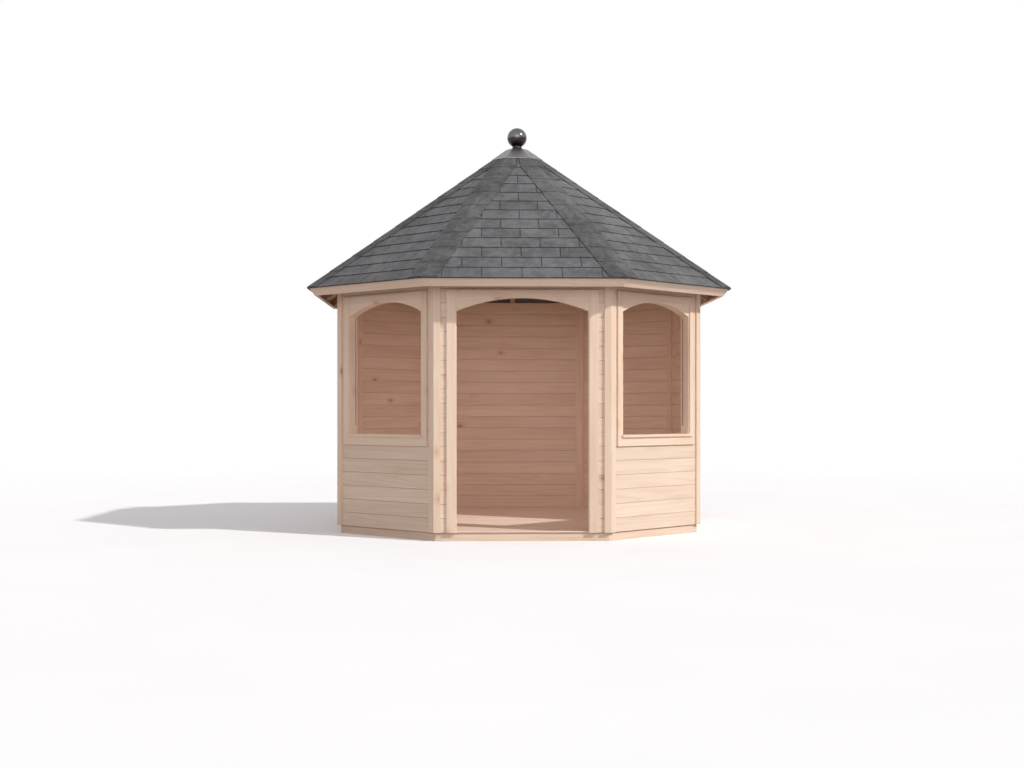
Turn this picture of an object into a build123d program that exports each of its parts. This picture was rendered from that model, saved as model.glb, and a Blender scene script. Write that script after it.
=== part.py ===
from build123d import *

import os
from math import atan, atan2, cos, pi, radians, sin, sqrt, tan

os.makedirs("parts", exist_ok=True)

# Octagonal timber garden gazebo: an open arched doorway in front, an open arched window in each
# front diagonal wall, plain boarded walls behind, and an eight-sided shingled roof with a ball
# finial. Millimetres, +Z up. The origin is on the ground under the middle of the building, and
# the doorway faces -Y. An inset is a distance inwards from the faces of the corner covers.

# --- Plan: a square with its corners cut off at 45 degrees ---
ACROSS = 3210             # between opposite corner covers, front to back and side to side
WIDE_FACE = 1466          # front, back and side faces, corner to corner
HALF_ACROSS = ACROSS / 2
HALF_DIAGONAL = (ACROSS + WIDE_FACE) / 2 / sqrt(2)
MITRE = tan(radians(22.5))

# --- Base and floor ---
BASE_HEIGHT = 68          # ground to the foot of the walls
PLINTH_INSET = 32
DRIP_HEIGHT = 8           # shadow gap between the plinth and the lowest board
DRIP_DEPTH = 6
BEARER_WIDTH = 70
JOIST_WIDTH = 45
JOIST_SPACING = 350
JOISTS = 8
DECK_T = 22
DECK_GAP = 2              # between the floor boards and the walls
FLOOR = BASE_HEIGHT       # the floor boards lie in a rebate, level with the top of the bearers

# --- Walls ---
BOARD_COVER = 118.4       # height that each wall board shows
BOARD_ROWS = 18
BOARD_T = 44
WALL_TOP = BASE_HEIGHT + BOARD_ROWS * BOARD_COVER
COVER_T = 16              # corner covers and casings stand this proud of the boards
COVER_LEAF = 56
INSIDE_COVER_T = 12
INSIDE_COVER_LEAF = 50
BOARD_BACK = COVER_T + BOARD_T
INSIDE_FACE = BOARD_BACK + INSIDE_COVER_T

# --- Doorway and windows: upright sides under a segmental arch ---
DOOR_WIDTH = 1087
DOOR_SPRING = 1896
DOOR_CROWN = 2005
WINDOW_WIDTH = 915
WINDOW_SPRING = 1898
WINDOW_CROWN = 2000
SILL_TOP = 873
SILL_T = 22
SILL_NOSE = 16            # how far the sill stands out from the casing
SILL_HORN = 24            # how far the sill runs past the opening, each side
LINING_T = 20
LINING_SETBACK = 12       # edge of the lining behind the face of the casing
CASING_REVEAL = 8         # edge of the lining that shows beside the casing
DOOR_CASING = 74
WINDOW_CASING = 64
HEAD_RAIL = 56
INSIDE_CASING = 70        # width of the frame's flange inside, from the opening

# --- Roof: every layer is the same pyramid, dropped by its depth below the shingle face ---
OVERHANG = 256
EAVES_HEIGHT = 2149       # shingle face at the eaves
APEX_HEIGHT = 3570        # where the shingle faces would meet
CROWN_HEIGHT = 3500       # the layers are cut level here to seat the finial
SHINGLE_T = 12
BOARDING_T = 20
HIP_CAP_T = 5
HIP_CAP_HALF = 126        # half the width of a hip cap, seen in plan
CAP_T = 4
CAP_REACH = 234           # apex cap, centre to edge
FASCIA_T = 20
FASCIA_HEIGHT = 86
SHINGLE_NOSE = 17         # shingles past the face of the fascia
RAFTER_WIDTH = 45
TAIL_DEPTH = 80           # plumb depth of the rafters outside the walls
KING_RADIUS = 70
KING_LENGTH = 230
MID_RAFTER_HEAD = 80      # centre line to the head of a mid rafter, clear of the king block
ROOF_RISE = APEX_HEIGHT - EAVES_HEIGHT
RAFTER_DROP = SHINGLE_T + BOARDING_T

# --- Finial ---
BALL_RADIUS = 91
BALL_HEIGHT = 3623
NECK_RADIUS = 44
NECK_HEIGHT = 3537
FOOT_RADIUS = 86
FOOT_EDGE = 6

FACES = ["front_right", "right", "back_right", "back", "back_left", "left", "front_left", "front"]
CORNERS = ["front_right", "right_front", "right_back", "back_right",
           "back_left", "left_back", "left_front", "front_left"]
FRONT_RIGHT, FRONT_LEFT, FRONT = 0, 6, 7


# --- Setting out ---
def corner(index, inset):
    """Plan corner of the octagon at an inset, numbered anticlockwise from the front right."""
    wide = HALF_ACROSS - inset
    near = sqrt(2) * (HALF_DIAGONAL - inset) - wide
    start = Vector(near, -wide) if index % 2 == 0 else Vector(wide, -near)
    return start.rotate(Axis.Z, 90 * (index % 8 // 2))


def octagon(inset):
    return [(corner(i, inset).X, corner(i, inset).Y) for i in range(8)]


def face_angle(index):
    """Direction that a face looks, in radians from +X. Face n runs from corner n to n + 1."""
    return radians(45 * index - 45)


def face_reach(index, inset):
    return (HALF_DIAGONAL if index % 2 == 0 else HALF_ACROSS) - inset


def outward(angle):
    return Vector(cos(angle), sin(angle), 0)


def along(angle):
    return Vector(-sin(angle), cos(angle), 0)


def face_plane(index, inset=0):
    """Upright plane on a face: x to the right from outside, y up from the ground."""
    angle = face_angle(index)
    return Plane(outward(angle) * face_reach(index, inset), x_dir=along(angle), z_dir=outward(angle))


def level_plane(index, height):
    """Level plane with its origin under the middle of a face, x along it and y inwards."""
    angle = face_angle(index)
    origin = outward(angle) * face_reach(index, 0) + Vector(0, 0, height)
    return Plane(origin, x_dir=along(angle), z_dir=(0, 0, 1))


def section_plane(angle):
    """Upright plane through the centre line: x outwards, y up."""
    return Plane((0, 0, 0), x_dir=outward(angle), z_dir=-along(angle))


def hip_angle(index):
    eaves = corner(index, -OVERHANG)
    return atan2(eaves.Y, eaves.X)


def hip_plane(index, shift=0):
    """Upright plane along a hip, facing anticlockwise and moved that way by shift."""
    angle = hip_angle(index)
    return Plane(along(angle) * shift, x_dir=outward(angle), z_dir=along(angle))


def pitch(index):
    return atan(ROOF_RISE / face_reach(index, -OVERHANG))


def roof_plane(index, drop):
    """Slope of one roof face, a plumb distance below the face of the shingles."""
    angle = face_angle(index)
    slope = pitch(index)
    normal = outward(angle) * sin(slope) + Vector(0, 0, cos(slope))
    return Plane((0, 0, APEX_HEIGHT - drop), x_dir=along(angle), z_dir=normal)


def fascia_top(index):
    """Section point at the front top edge of a fascia board."""
    reach = face_reach(index, -OVERHANG)
    radius = reach - SHINGLE_NOSE
    return Vector(radius, APEX_HEIGHT - SHINGLE_T - ROOF_RISE * radius / reach)


def fascia_back(index):
    """Plane of the back of a fascia board, square to the slope and facing down it."""
    angle = face_angle(index)
    slope = pitch(index)
    edge = fascia_top(index) - Vector(cos(slope), -sin(slope)) * FASCIA_T
    down_slope = outward(angle) * cos(slope) - Vector(0, 0, sin(slope))
    return Plane(outward(angle) * edge.X + Vector(0, 0, edge.Y), x_dir=along(angle), z_dir=down_slope)


def write(part, node):
    part.label = node
    export_step(part, f"parts/{node}.step")


# --- Base and floor ---
def base_frame():
    """Ring of bearers under the walls, with a rebate for the floor inside and a drip step on top,
    and the joists between them."""
    bearer_back = PLINTH_INSET + BEARER_WIDTH
    rebate = FLOOR - DECK_T
    plinth = BASE_HEIGHT - DRIP_HEIGHT
    rings = [(0, rebate, PLINTH_INSET, bearer_back),
             (rebate, plinth, PLINTH_INSET, BOARD_BACK),
             (plinth, BASE_HEIGHT, PLINTH_INSET + DRIP_DEPTH, BOARD_BACK)]
    with BuildPart() as frame:
        with BuildSketch():
            with GridLocations(JOIST_SPACING, 0, JOISTS, 1):
                Rectangle(JOIST_WIDTH, ACROSS)
            Polygon(*octagon(bearer_back - 1), align=None, mode=Mode.INTERSECT)
        extrude(amount=rebate)
        for foot, top, outside, inside in rings:
            with BuildSketch(Plane.XY.offset(foot)):
                Polygon(*octagon(outside), align=None)
                Polygon(*octagon(inside), align=None, mode=Mode.SUBTRACT)
            extrude(amount=top - foot)
    return frame.part


def floor_deck():
    """Floor boards between the walls, laid on the joists and in the rebate of the bearers."""
    with BuildPart() as deck:
        with BuildSketch(Plane.XY.offset(FLOOR - DECK_T)):
            Polygon(*octagon(BOARD_BACK + DECK_GAP), align=None)
        extrude(amount=DECK_T)
    return deck.part


# --- Walls ---
def plain_wall(index):
    """Boards of one wall, mitred against both neighbours."""
    with BuildPart() as wall:
        with BuildSketch(Plane.XY.offset(BASE_HEIGHT)):
            with BuildLine():
                Polyline(corner(index, COVER_T), corner(index + 1, COVER_T),
                         corner(index + 1, BOARD_BACK), corner(index, BOARD_BACK), close=True)
            make_face()
        extrude(amount=WALL_TOP - BASE_HEIGHT)
    return wall.part


def window_wall(index):
    """A plain wall cut through for the window's lining and sill."""
    foot = SILL_TOP - SILL_T
    head = WINDOW_CROWN + LINING_T
    with BuildPart() as wall:
        add(plain_wall(index))
        with BuildSketch(face_plane(index)):
            with Locations((0, (foot + head) / 2)):
                Rectangle(WINDOW_WIDTH + 2 * LINING_T, head - foot)
        extrude(amount=-INSIDE_FACE, mode=Mode.SUBTRACT)
    return wall.part


def front_wall_pieces():
    """The front wall in three: a stub each side of the doorway and the boards over it."""
    jamb = DOOR_WIDTH / 2 + LINING_T
    head = DOOR_CROWN + LINING_T
    face = face_reach(FRONT, COVER_T)
    with BuildPart() as left:
        add(plain_wall(FRONT))
        split(bisect_by=Plane.YZ.offset(-jamb), keep=Keep.BOTTOM)
    with BuildPart() as right:
        mirror(left.part, about=Plane.YZ)
    with BuildPart() as over:
        with BuildSketch(Plane.XY.offset(head)):
            with Locations((0, BOARD_T / 2 - face)):
                Rectangle(2 * jamb, BOARD_T)
        extrude(amount=WALL_TOP - head)
    return {"left": left.part, "right": right.part, "head": over.part}


def corner_strip(index, back, face, leaf, foot):
    """Two-leaf strip folded round a corner, between the insets of its back and its face."""
    middle = corner(index, 0)
    before = (corner(index - 1, 0) - middle).normalized()
    after = (corner(index + 1, 0) - middle).normalized()
    back_leaf = leaf - MITRE * back
    face_leaf = leaf - MITRE * face
    with BuildPart() as strip:
        with BuildSketch(Plane.XY.offset(foot)):
            with BuildLine():
                Polyline(corner(index, back) + before * back_leaf, corner(index, back),
                         corner(index, back) + after * back_leaf,
                         corner(index, face) + after * face_leaf, corner(index, face),
                         corner(index, face) + before * face_leaf, close=True)
            make_face()
        extrude(amount=WALL_TOP - foot)
    return strip.part


def inside_corner_covers():
    """The eight strips inside, standing on the floor."""
    leaf = INSIDE_COVER_LEAF + MITRE * BOARD_BACK
    with BuildPart() as covers:
        for index in range(8):
            add(corner_strip(index, BOARD_BACK, INSIDE_FACE, leaf, FLOOR))
    return covers.part


# --- Doorway and windows ---
def arched_opening(width, foot, spring, crown):
    with BuildSketch() as opening:
        with BuildLine():
            Polyline((-width / 2, spring), (-width / 2, foot), (width / 2, foot), (width / 2, spring))
            ThreePointArc((width / 2, spring), (0, crown), (-width / 2, spring))
        make_face()
    return opening.sketch


def arched_frame(index, opening, width, crown, foot, flange_foot):
    """Frame with an arched head, in three depths: the edge that shows inside the casing, the
    lining through the boards, and a flange against their inside face."""
    steps = [(LINING_SETBACK, COVER_T, CASING_REVEAL, foot),
             (COVER_T, BOARD_BACK, LINING_T, foot),
             (BOARD_BACK, INSIDE_FACE, INSIDE_CASING, flange_foot)]
    with BuildPart() as frame:
        for face, back, margin, bottom in steps:
            with BuildSketch(face_plane(index, face)):
                with Locations((0, bottom)):
                    Rectangle(width + 2 * margin, crown + margin - bottom,
                              align=(Align.CENTER, Align.MIN))
                add(opening, mode=Mode.SUBTRACT)
            extrude(amount=face - back)
    return frame.part


def door_casing():
    """Two uprights and a head rail on the face of the boards."""
    inner = DOOR_WIDTH + 2 * CASING_REVEAL
    head = DOOR_CROWN + CASING_REVEAL
    with BuildPart() as casing:
        with BuildSketch(face_plane(FRONT)):
            with Locations((0, BASE_HEIGHT)):
                Rectangle(inner + 2 * DOOR_CASING, head + HEAD_RAIL - BASE_HEIGHT,
                          align=(Align.CENTER, Align.MIN))
                Rectangle(inner, head - BASE_HEIGHT, align=(Align.CENTER, Align.MIN),
                          mode=Mode.SUBTRACT)
        extrude(amount=-COVER_T)
    return casing.part


def window_sill(index):
    """Sill right through the wall, with horns that run past the opening in front."""
    with BuildPart() as sill:
        with BuildSketch(level_plane(index, SILL_TOP - SILL_T)):
            with Locations((0, -SILL_NOSE)):
                Rectangle(WINDOW_WIDTH + 2 * SILL_HORN, SILL_NOSE + COVER_T,
                          align=(Align.CENTER, Align.MIN))
            with Locations((0, COVER_T)):
                Rectangle(WINDOW_WIDTH + 2 * LINING_T, INSIDE_FACE - COVER_T,
                          align=(Align.CENTER, Align.MIN))
        extrude(amount=SILL_T)
    return sill.part


def window_frame(index, sill):
    foot = SILL_TOP - SILL_T
    opening = arched_opening(WINDOW_WIDTH, foot, WINDOW_SPRING, WINDOW_CROWN)
    with BuildPart() as frame:
        add(arched_frame(index, opening, WINDOW_WIDTH, WINDOW_CROWN, foot, foot - 50))
        add(sill, mode=Mode.SUBTRACT)
    return frame.part


def window_casing(index, sill):
    """Casing all round on the face of the boards, notched over the horns of the sill."""
    inner = WINDOW_WIDTH + 2 * CASING_REVEAL
    foot = SILL_TOP - SILL_T
    head = WINDOW_CROWN + CASING_REVEAL
    bottom = BASE_HEIGHT + 6 * BOARD_COVER
    with BuildPart() as casing:
        with BuildSketch(face_plane(index)):
            with Locations((0, bottom)):
                Rectangle(inner + 2 * WINDOW_CASING, head + HEAD_RAIL - bottom,
                          align=(Align.CENTER, Align.MIN))
            with Locations((0, foot)):
                Rectangle(inner, head - foot, align=(Align.CENTER, Align.MIN), mode=Mode.SUBTRACT)
        extrude(amount=-COVER_T)
        add(sill, mode=Mode.SUBTRACT)
    return casing.part


# --- Roof timbers ---
def rafter_outline(reach, head, seat_front, seat_back):
    """Section of a rafter: seat on the wall top, slimmer tail outside, plumb cut at the head."""
    def top(radius):
        return APEX_HEIGHT - RAFTER_DROP - ROOF_RISE * radius / reach

    depth = top(seat_back) - WALL_TOP
    with BuildSketch() as outline:
        with BuildLine():
            Polyline((head, top(head)), (reach, top(reach)),
                     (reach, top(reach) - TAIL_DEPTH), (seat_front, top(seat_front) - TAIL_DEPTH),
                     (seat_front, WALL_TOP), (seat_back, WALL_TOP),
                     (head, top(head) - depth), close=True)
        make_face()
    return outline.sketch


def hip_rafter(index):
    """Rafter over a corner, its top backed to both roof faces and its tail mitred to both fascias."""
    outline = rafter_outline(corner(index, -OVERHANG).length, KING_RADIUS,
                             corner(index, COVER_T).length, corner(index, BOARD_BACK).length)
    with BuildPart() as rafter:
        with BuildSketch(section_plane(hip_angle(index))):
            add(outline)
        extrude(amount=RAFTER_WIDTH / 2, both=True)
        for face in (index - 1, index):
            split(bisect_by=roof_plane(face, RAFTER_DROP), keep=Keep.BOTTOM)
            split(bisect_by=fascia_back(face), keep=Keep.BOTTOM)
    return rafter.part


def mid_rafter(index):
    """Rafter up the middle of a face, its head cut to a point against the two hip rafters."""
    outline = rafter_outline(face_reach(index, -OVERHANG), MID_RAFTER_HEAD,
                             face_reach(index, COVER_T), face_reach(index, BOARD_BACK))
    with BuildPart() as rafter:
        with BuildSketch(section_plane(face_angle(index))):
            add(outline)
        extrude(amount=RAFTER_WIDTH / 2, both=True)
        split(bisect_by=fascia_back(index), keep=Keep.BOTTOM)
        split(bisect_by=hip_plane(index, RAFTER_WIDTH / 2), keep=Keep.TOP)
        split(bisect_by=hip_plane(index + 1, -RAFTER_WIDTH / 2), keep=Keep.BOTTOM)
    return rafter.part


def king_block():
    """Eight-sided block at the apex, one side square to each hip rafter, cut level on top."""
    points = []
    for index in range(8):
        half_turn = (hip_angle(index + 1) - hip_angle(index)) % (2 * pi) / 2
        middle = outward(face_angle(index)) * (KING_RADIUS / cos(half_turn))
        points.append((middle.X, middle.Y))
    with BuildPart() as block:
        with BuildSketch(Plane.XY.offset(CROWN_HEIGHT - KING_LENGTH)):
            Polygon(*points, align=None)
        extrude(amount=KING_LENGTH)
        for index in range(8):
            split(bisect_by=roof_plane(index, RAFTER_DROP), keep=Keep.BOTTOM)
    return block.part


# --- Roof covering ---
def roof_boards(index):
    """Boarding of one face, mitred along both hips and square-edged behind the fascia."""
    with BuildPart() as boards:
        with BuildSketch(Plane.XY.offset(EAVES_HEIGHT - FASCIA_HEIGHT)):
            with BuildLine():
                Polyline((0, 0), corner(index, -OVERHANG), corner(index + 1, -OVERHANG), close=True)
            make_face()
        extrude(amount=CROWN_HEIGHT - EAVES_HEIGHT + FASCIA_HEIGHT)
        split(bisect_by=roof_plane(index, SHINGLE_T), keep=Keep.BOTTOM)
        split(bisect_by=roof_plane(index, RAFTER_DROP), keep=Keep.TOP)
        split(bisect_by=fascia_back(index), keep=Keep.BOTTOM)
    return boards.part


def fascia_board(index):
    """Eaves board square to the slope, mitred at both ends with a 1 mm joint."""
    slope = pitch(index)
    down_slope = Vector(cos(slope), -sin(slope))
    inwards = Vector(-sin(slope), -cos(slope)) * FASCIA_HEIGHT
    top = fascia_top(index)
    back = top - down_slope * FASCIA_T
    with BuildPart() as board:
        with BuildSketch(section_plane(face_angle(index))):
            with BuildLine():
                Polyline(top, top + inwards, back + inwards, back, close=True)
            make_face()
        extrude(amount=WIDE_FACE, both=True)
        split(bisect_by=hip_plane(index, 0.5), keep=Keep.TOP)
        split(bisect_by=hip_plane(index + 1, -0.5), keep=Keep.BOTTOM)
    return board.part


def roof_solid(drop, overhang=OVERHANG, crown=CROWN_HEIGHT):
    """Solid pyramid under one layer of the roof, cut level at the crown."""
    foot = EAVES_HEIGHT - SHINGLE_T - (overhang - OVERHANG)
    with BuildPart() as solid:
        with BuildSketch(Plane.XY.offset(foot)):
            Polygon(*octagon(-overhang), align=None)
        extrude(amount=crown - foot)
        for index in range(8):
            split(bisect_by=roof_plane(index, drop), keep=Keep.BOTTOM)
    return solid.part


def shingle_cover():
    with BuildPart() as cover:
        add(roof_solid(0))
        add(roof_solid(SHINGLE_T, OVERHANG + 40), mode=Mode.SUBTRACT)
    return cover.part


def hip_caps():
    """Folded capping along every hip, joined where the strips run together near the apex."""
    with BuildPart() as caps:
        add(roof_solid(-HIP_CAP_T))
        add(roof_solid(0, OVERHANG + 40), mode=Mode.SUBTRACT)
        with BuildSketch(Plane.XY.offset(EAVES_HEIGHT - FASCIA_HEIGHT)):
            for index in range(8):
                Rectangle(ACROSS, 2 * HIP_CAP_HALF, rotation=hip_angle(index) * 180 / pi,
                          align=(Align.MIN, Align.CENTER))
        extrude(amount=APEX_HEIGHT - EAVES_HEIGHT + FASCIA_HEIGHT, mode=Mode.INTERSECT)
    return caps.part


def apex_cap():
    """Sheet-metal cap over the tops of the hip caps, eight-sided, with a level top."""
    shrink = CAP_REACH / (HALF_ACROSS + OVERHANG)
    points = [(x * shrink, y * shrink) for x, y in octagon(-OVERHANG)]
    with BuildPart() as cap:
        add(roof_solid(-HIP_CAP_T - CAP_T, crown=CROWN_HEIGHT + CAP_T))
        add(roof_solid(-HIP_CAP_T, OVERHANG + 40), mode=Mode.SUBTRACT)
        with BuildSketch(Plane.XY.offset(EAVES_HEIGHT)):
            Polygon(*points, align=None)
        extrude(amount=APEX_HEIGHT - EAVES_HEIGHT, mode=Mode.INTERSECT)
    return cap.part


def finial():
    """Turned ball on a short neck that flares out to a round foot."""
    neck_top = BALL_HEIGHT - sqrt(BALL_RADIUS ** 2 - NECK_RADIUS ** 2)
    foot = CROWN_HEIGHT + CAP_T
    foot_top = foot + FOOT_EDGE
    with BuildPart() as ball:
        with BuildSketch(Plane.XZ):
            with BuildLine():
                Polyline((0, foot), (FOOT_RADIUS, foot), (FOOT_RADIUS, foot_top))
                TangentArc((NECK_RADIUS, NECK_HEIGHT), (FOOT_RADIUS, foot_top), tangent=(0, -1))
                Line((NECK_RADIUS, NECK_HEIGHT), (NECK_RADIUS, neck_top))
                ThreePointArc((NECK_RADIUS, neck_top), (BALL_RADIUS, BALL_HEIGHT),
                              (0, BALL_HEIGHT + BALL_RADIUS))
                Line((0, BALL_HEIGHT + BALL_RADIUS), (0, foot))
            make_face()
        revolve(axis=Axis.Z)
    return ball.part


# --- The whole gazebo ---
write(base_frame(), "base_frame")
write(floor_deck(), "floor_deck")

for side, piece in front_wall_pieces().items():
    write(piece, f"front_wall_{side}")
for index in (1, 2, 3, 4, 5):
    write(plain_wall(index), f"{FACES[index]}_wall")
for index in range(8):
    write(corner_strip(index, COVER_T, 0, COVER_LEAF, BASE_HEIGHT), f"corner_cover_{CORNERS[index]}")
write(inside_corner_covers(), "inside_corner_covers")

door_opening = arched_opening(DOOR_WIDTH, BASE_HEIGHT, DOOR_SPRING, DOOR_CROWN)
write(arched_frame(FRONT, door_opening, DOOR_WIDTH, DOOR_CROWN, BASE_HEIGHT, FLOOR), "door_frame")
write(door_casing(), "door_casing")

for index, side in ((FRONT_LEFT, "left"), (FRONT_RIGHT, "right")):
    sill = window_sill(index)
    write(window_wall(index), f"front_{side}_wall")
    write(sill, f"window_sill_{side}")
    write(window_frame(index, sill), f"window_frame_{side}")
    write(window_casing(index, sill), f"window_casing_{side}")

with BuildPart() as hip_rafters:
    for index in range(8):
        add(hip_rafter(index))
write(hip_rafters.part, "hip_rafters")
with BuildPart() as mid_rafters:
    for index in range(8):
        add(mid_rafter(index))
write(mid_rafters.part, "mid_rafters")
write(king_block(), "king_block")

for index in range(8):
    write(roof_boards(index), f"roof_boards_{FACES[index]}")
with BuildPart() as fascia:
    for index in range(8):
        add(fascia_board(index))
write(fascia.part, "fascia")
write(shingle_cover(), "shingle_cover")
write(hip_caps(), "hip_caps")
write(apex_cap(), "apex_cap")
write(finial(), "finial")
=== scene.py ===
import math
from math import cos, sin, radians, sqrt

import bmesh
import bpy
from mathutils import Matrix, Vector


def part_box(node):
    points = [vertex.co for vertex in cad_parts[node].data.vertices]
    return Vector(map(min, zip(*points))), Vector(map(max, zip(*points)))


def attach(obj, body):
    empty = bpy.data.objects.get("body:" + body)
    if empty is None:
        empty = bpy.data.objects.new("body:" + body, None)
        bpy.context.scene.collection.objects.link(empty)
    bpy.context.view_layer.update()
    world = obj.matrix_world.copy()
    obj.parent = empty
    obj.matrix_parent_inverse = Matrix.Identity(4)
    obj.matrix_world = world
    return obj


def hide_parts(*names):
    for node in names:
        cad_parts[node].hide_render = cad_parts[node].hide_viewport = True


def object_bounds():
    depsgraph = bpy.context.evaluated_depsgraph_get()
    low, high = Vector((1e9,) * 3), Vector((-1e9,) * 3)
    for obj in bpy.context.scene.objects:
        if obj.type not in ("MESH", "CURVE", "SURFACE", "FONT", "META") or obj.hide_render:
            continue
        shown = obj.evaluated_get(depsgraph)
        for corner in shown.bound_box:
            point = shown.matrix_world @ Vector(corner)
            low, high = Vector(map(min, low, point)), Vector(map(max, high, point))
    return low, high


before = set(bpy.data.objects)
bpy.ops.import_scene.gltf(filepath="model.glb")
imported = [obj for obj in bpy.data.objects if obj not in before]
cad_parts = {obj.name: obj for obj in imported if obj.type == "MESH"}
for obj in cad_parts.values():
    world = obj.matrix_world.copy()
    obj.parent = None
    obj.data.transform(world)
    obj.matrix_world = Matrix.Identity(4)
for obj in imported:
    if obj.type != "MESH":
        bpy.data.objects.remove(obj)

# %% [markdown]
# # A timber garden gazebo
#
# The lesson dresses a finished set of solids as a real garden gazebo: boarded walls with
# V-joints, a boarded floor and roof, bitumen shingles in courses, folded hip caps, nails,
# and a finish for every piece of timber and metal. The solids keep their places. Where a
# solid stands for many boards or many shingles, the real ones are made here and take its place.

solid_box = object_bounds()
row_low, row_high = (Vector(c) for c in solid_box)
print("gazebo is", [round(v, 3) for v in row_high - row_low], "m")

# %% [markdown]
# ## The plan
#
# The plan is a square with its corners cut off at 45 degrees. Each of its eight faces is
# known by the way it looks and by how far it stands from the middle. An inset is a distance
# inwards from the faces of the corner covers. Everything that is set out on a face uses the
# same three directions: along it to the right, upwards, and out of it. With a function for
# each direction, nothing has to be set out by hand eight times. The cut corners have the even
# numbers.

# %% Setting out the eight faces
FACES = ["front_right", "right", "back_right", "back",
         "back_left", "left", "front_left", "front"]
FRONT = FACES.index("front")
WINDOW_FACES = {"left": FACES.index("front_left"), "right": FACES.index("front_right")}
HALF_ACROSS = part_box("corner_cover_right_front")[1][0]
HALF_DIAGONAL = 1.6532
COVER_THICK = 0.016
BOARD_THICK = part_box("back_wall")[1][1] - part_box("back_wall")[0][1]
UP = Vector((0, 0, 1))


def outward(face):
    angle = radians(45 * face - 45)
    return Vector((cos(angle), sin(angle), 0))


def along(face):
    return UP.cross(outward(face))


def reach(face, inset=0.0):
    return (HALF_DIAGONAL if face % 2 == 0 else HALF_ACROSS) - inset


def half_face(face, inset=0.0):
    """Half the length of a face at an inset."""
    wide, cut = reach(1, inset), reach(0, inset)
    near = sqrt(2) * cut - wide
    return (wide - near) / sqrt(2) if face % 2 == 0 else near


print("wide faces", round(2 * half_face(1), 3), "m,",
      "cut corners", round(2 * half_face(0), 3), "m")

# %% [markdown]
# ## The openings
#
# The doorway and the two windows are arched. Their casings, linings, stops and threshold are
# all set out from the same few heights above the ground and half widths.

# %% Setting out the openings
DOOR_HALF, DOOR_SPRING = 0.5435, 1.896
WINDOW_HALF, WINDOW_SPRING, WINDOW_CROWN = 0.4575, 1.898, 2.000
SILL_THICK, SILL_TOP = 0.022, 0.873
LINING_HEAD = 1.900
print("doorway", 2 * DOOR_HALF, "m wide, windows", 2 * WINDOW_HALF, "m wide")

# %% [markdown]
# ## Small helpers for meshes
#
# Every piece ends as a plain mesh whose points are already in place, so its object sits at the
# origin. `band` joins two rings of points with quads, and `from_bmesh` makes an object of the
# result. `settle` evaluates the modifiers of an object, keeps the result as its mesh and takes
# the modifiers off. `finish_piece` gives a piece its body and hides the solids that it stands
# for.

# %% Mesh helpers
def new_object(name, mesh):
    piece = bpy.data.objects.new(name, mesh)
    bpy.context.scene.collection.objects.link(piece)
    return piece


def band(work, first, second):
    """Joins two rings of points with quads, and returns the quads."""
    count = len(first)
    return [work.faces.new((first[k], first[(k + 1) % count],
                            second[(k + 1) % count], second[k])) for k in range(count)]


def from_bmesh(name, work, turn_out=True):
    """An object from finished mesh work, with its faces pointing outwards."""
    if turn_out:
        bmesh.ops.recalc_face_normals(work, faces=work.faces)
    mesh = bpy.data.meshes.new(name)
    work.to_mesh(mesh)
    work.free()
    return new_object(name, mesh)


def settle(piece):
    """Turns an object with modifiers into a plain mesh."""
    depsgraph = bpy.context.evaluated_depsgraph_get()
    made = bpy.data.meshes.new_from_object(piece.evaluated_get(depsgraph),
                                           preserve_all_data_layers=True, depsgraph=depsgraph)
    piece.modifiers.clear()
    piece.data = made
    return piece


def join(name, parts):
    """One object from several, with the same material slots and attributes."""
    with bpy.context.temp_override(active_object=parts[0], selected_editable_objects=parts):
        bpy.ops.object.join()
    parts[0].name = name
    return parts[0]


def finish_piece(piece, stands_for=()):
    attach(piece, "root")
    if stands_for:
        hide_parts(*stands_for)
    print(piece.name, "has", len(piece.data.polygons), "faces")

# %% [markdown]
# ## Small helpers for node trees
#
# A node tree is easier to read as sums than as boxes and wires. `Net` adds a node, sets its
# inputs from numbers or from the outputs of other nodes, and hands back its output. The same
# helper serves the shaders and the Geometry Nodes trees.

# %% A short way to write nodes
class Net:
    def __init__(self, tree):
        self.tree = tree

    def node(self, kind, inputs=None, **settings):
        made = self.tree.nodes.new(kind)
        for name, value in settings.items():
            setattr(made, name, value)
        for key, value in (inputs or {}).items():
            self.feed(made.inputs[key], value)
        return made

    def feed(self, socket, value):
        if isinstance(value, bpy.types.NodeSocket):
            self.tree.links.new(value, socket)
        else:
            socket.default_value = value

    def math(self, operation, *values):
        made = self.node("ShaderNodeMath", operation=operation)
        for socket, value in zip(made.inputs, values):
            self.feed(socket, value)
        return made.outputs[0]

    def vector(self, operation, *values, out="Vector"):
        made = self.node("ShaderNodeVectorMath", operation=operation)
        for socket, value in zip(made.inputs, values):
            self.feed(socket, value)
        return made.outputs[out]

    def mix(self, amount, first, second):
        """A colour between two others."""
        made = self.node("ShaderNodeMix", data_type="RGBA")
        for key, value in ((0, amount), (6, first), (7, second)):
            self.feed(made.inputs[key], value)
        return made.outputs[2]

    def ramp(self, value, low, high, start=0.0, end=1.0):
        """A value spread from low..high to start..end, and kept there."""
        made = self.node("ShaderNodeMapRange", clamp=True)
        for key, part in enumerate((value, low, high, start, end)):
            self.feed(made.inputs[key], part)
        return made.outputs[0]

    def noise(self, where, scale, detail=3.0, roughness=0.5, distortion=0.0):
        return self.node("ShaderNodeTexNoise", {
            "Vector": where, "Scale": scale, "Detail": detail, "Roughness": roughness,
            "Distortion": distortion}).outputs[0]


print("nodes are named as in Blender", bpy.app.version_string)

# %% [markdown]
# ## Groups and materials
#
# An effect that several materials share is a group, with named sockets for what differs
# between them. The shader itself stays in each material. The values of a noise gather round a
# half, so most ramps here start from the span that holds nearly all of them.

# %% Helpers for groups and materials
NOISE_SPAN = (0.3, 0.7)


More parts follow.
